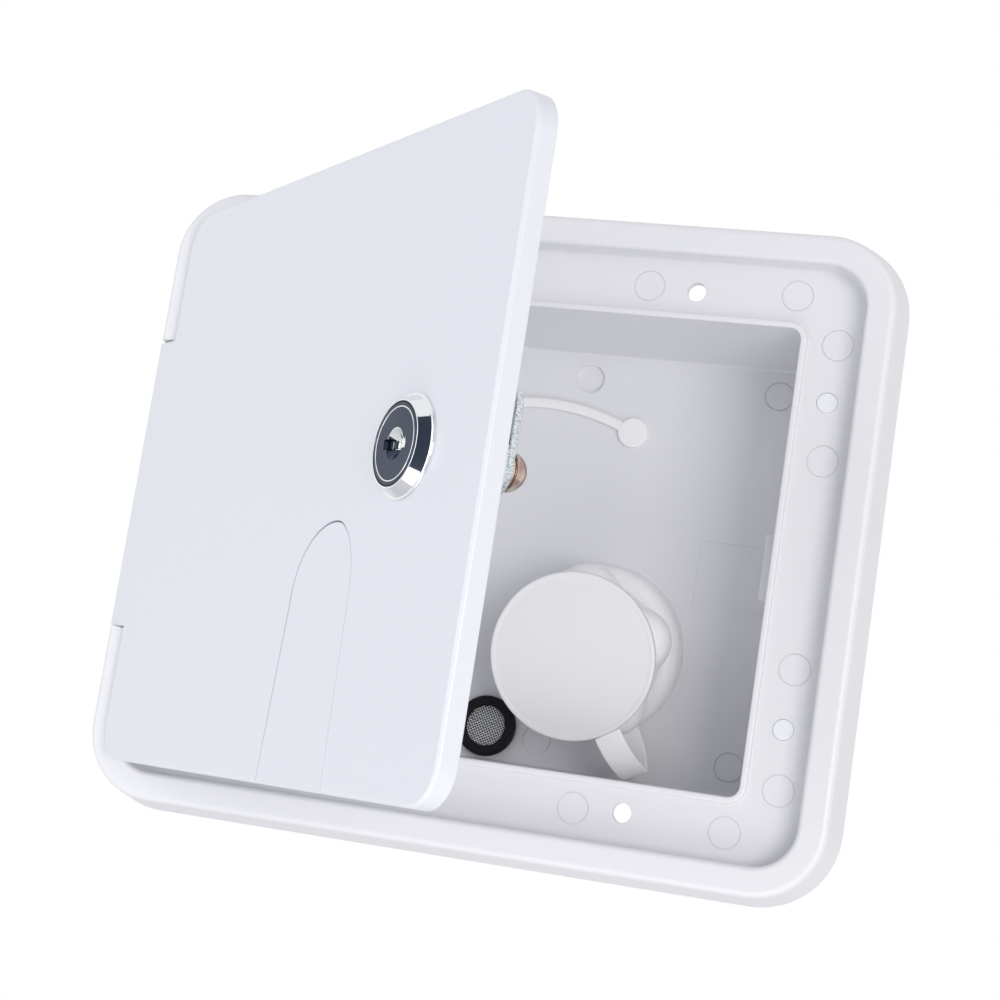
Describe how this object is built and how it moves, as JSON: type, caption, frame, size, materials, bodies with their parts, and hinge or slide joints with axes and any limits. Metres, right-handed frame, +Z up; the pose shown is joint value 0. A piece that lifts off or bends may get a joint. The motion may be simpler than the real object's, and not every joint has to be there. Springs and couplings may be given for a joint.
{
  "type": "water fill hatch",
  "caption": "Square white wall hatch with a hinged locking door over a recessed water inlet with a tethered cap.",
  "frame": {"origin": "centre of the flange's rear face, which lies on the wall", "axes": "+X to the right seen from outside, +Y into the wall, +Z up; the door side faces -Y"},
  "size_m": [0.1948, 0.2039, 0.1654],
  "materials": {
    "white_plastic": "moulded white plastic, satin gloss",
    "shell_plastic": "moulded white plastic with a dull inner face",
    "steel": "plain steel pin",
    "inlet_plastic": "smooth white plastic",
    "strap_rubber": "soft white strap",
    "black_rubber": "black rubber",
    "steel_mesh": "woven steel wire",
    "chrome": "bright chrome plating",
    "zinc": "zinc plated",
    "dark_mirror": "dark polished face",
    "screw_metal": "nickel plated screw with a copper tone",
    "cap_plastic": "soft white plastic"
  },
  "bodies": {
    "hatch": {"front_frame": "white_plastic", "pocket_shell": "shell_plastic", "latch_strike": "shell_plastic", "hinge_pin": "steel", "inlet_base": "inlet_plastic", "inlet_spout": "inlet_plastic", "inlet_back_nut": "inlet_plastic", "tether_strap": "strap_rubber", "cap_strap": "cap_plastic", "filter_washer": "black_rubber", "filter_screen": "steel_mesh"},
    "door": {"door_panel": "white_plastic", "hose_flap": "white_plastic", "lock_bezel": "chrome", "lock_barrel": "zinc", "lock_nut": "zinc"},
    "lock": {"lock_plug": "dark_mirror", "lock_cam": "zinc", "cam_screw": "screw_metal"},
    "collar": {"inlet_collar": "inlet_plastic"},
    "cap": {"cap_disc": "cap_plastic", "cap_plug": "cap_plastic"}
  },
  "joints": [
    {"name": "door_hinge", "type": "hinge", "parent": "hatch", "child": "door", "pos_m": [-0.0911, -0.0079, 0], "axis": [0, 0, -1], "range_deg": [-43, 77]},
    {"name": "lock_turn", "type": "hinge", "parent": "door", "child": "lock", "pos_m": [0.01252, -0.11013, 0.0002], "axis": [0.682, 0.7314, 0], "range_deg": [0, 90]},
    {"name": "collar_swivel", "type": "hinge", "parent": "hatch", "child": "collar", "pos_m": [0.0232, 0.036, -0.0236], "axis": [0, -0.9857, -0.1685], "continuous": true},
    {"name": "cap_pull", "type": "slide", "parent": "hatch", "child": "cap", "axis": [0, -0.9857, -0.1685], "range_m": [0, 0.008]}
  ]
}
